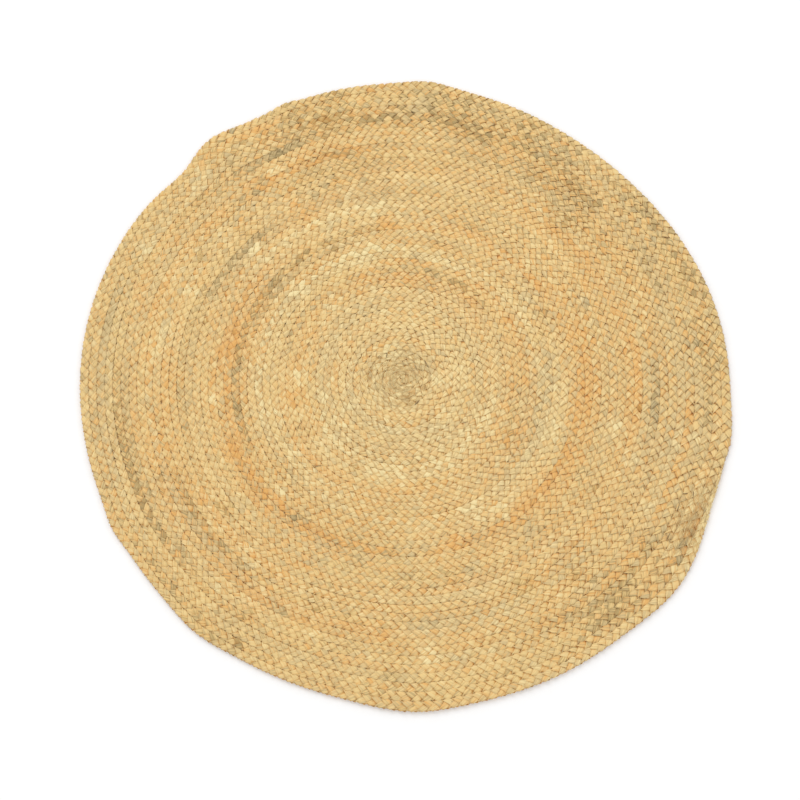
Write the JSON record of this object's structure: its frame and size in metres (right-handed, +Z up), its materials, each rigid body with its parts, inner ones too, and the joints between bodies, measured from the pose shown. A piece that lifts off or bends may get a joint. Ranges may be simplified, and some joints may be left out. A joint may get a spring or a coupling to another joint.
{
  "type": "area rug",
  "caption": "Round flat area rug: one natural jute braid coiled from the middle outwards and sewn edge to edge, with a tapered, stitched-down end.",
  "frame": {"origin": "middle of the coil, on the floor plane under the rug", "axes": "+Z up out of the floor, +X to the right and +Y away from the viewer in plan; the braid's last full turn ends 35 degrees clockwise of +X"},
  "size_m": [1.2063, 1.2174, 0.0098],
  "materials": {
    "jute_braid": "dry matt raw jute fibre, straw colour with golden, pale and grey-green lengths",
    "sewing_thread": "matt undyed twisted thread"
  },
  "bodies": {
    "root": {"coil_eye": "jute_braid", "braid_round_03": "jute_braid", "braid_round_04": "jute_braid", "braid_round_05": "jute_braid", "braid_round_06": "jute_braid", "braid_round_07": "jute_braid", "braid_round_08": "jute_braid", "braid_round_09": "jute_braid", "braid_round_10": "jute_braid", "braid_round_11": "jute_braid", "braid_round_12": "jute_braid", "braid_round_13": "jute_braid", "braid_round_14": "jute_braid", "braid_round_15": "jute_braid", "braid_round_16": "jute_braid", "braid_round_17": "jute_braid", "braid_round_18": "jute_braid", "braid_round_19": "jute_braid", "braid_round_20": "jute_braid", "braid_round_21": "jute_braid", "braid_round_22": "jute_braid", "braid_round_23": "jute_braid", "braid_round_24": "jute_braid", "braid_round_25": "jute_braid", "braid_round_26": "jute_braid", "braid_round_27": "jute_braid", "braid_round_28": "jute_braid", "braid_round_29": "jute_braid", "braid_round_30": "jute_braid", "braid_round_31": "jute_braid", "braid_round_32": "jute_braid", "braid_round_33": "jute_braid", "braid_round_34": "jute_braid", "braid_round_35": "jute_braid", "braid_round_36": "jute_braid", "braid_round_37": "jute_braid", "braid_round_38": "jute_braid", "braid_round_39": "jute_braid", "braid_round_40": "jute_braid", "braid_round_41": "jute_braid", "braid_round_42": "jute_braid", "braid_tail": "jute_braid", "tail_stitches": "sewing_thread", "lacing_thread_1": "sewing_thread", "lacing_thread_2": "sewing_thread", "lacing_thread_3": "sewing_thread", "lacing_thread_4": "sewing_thread"}
  },
  "joints": []
}
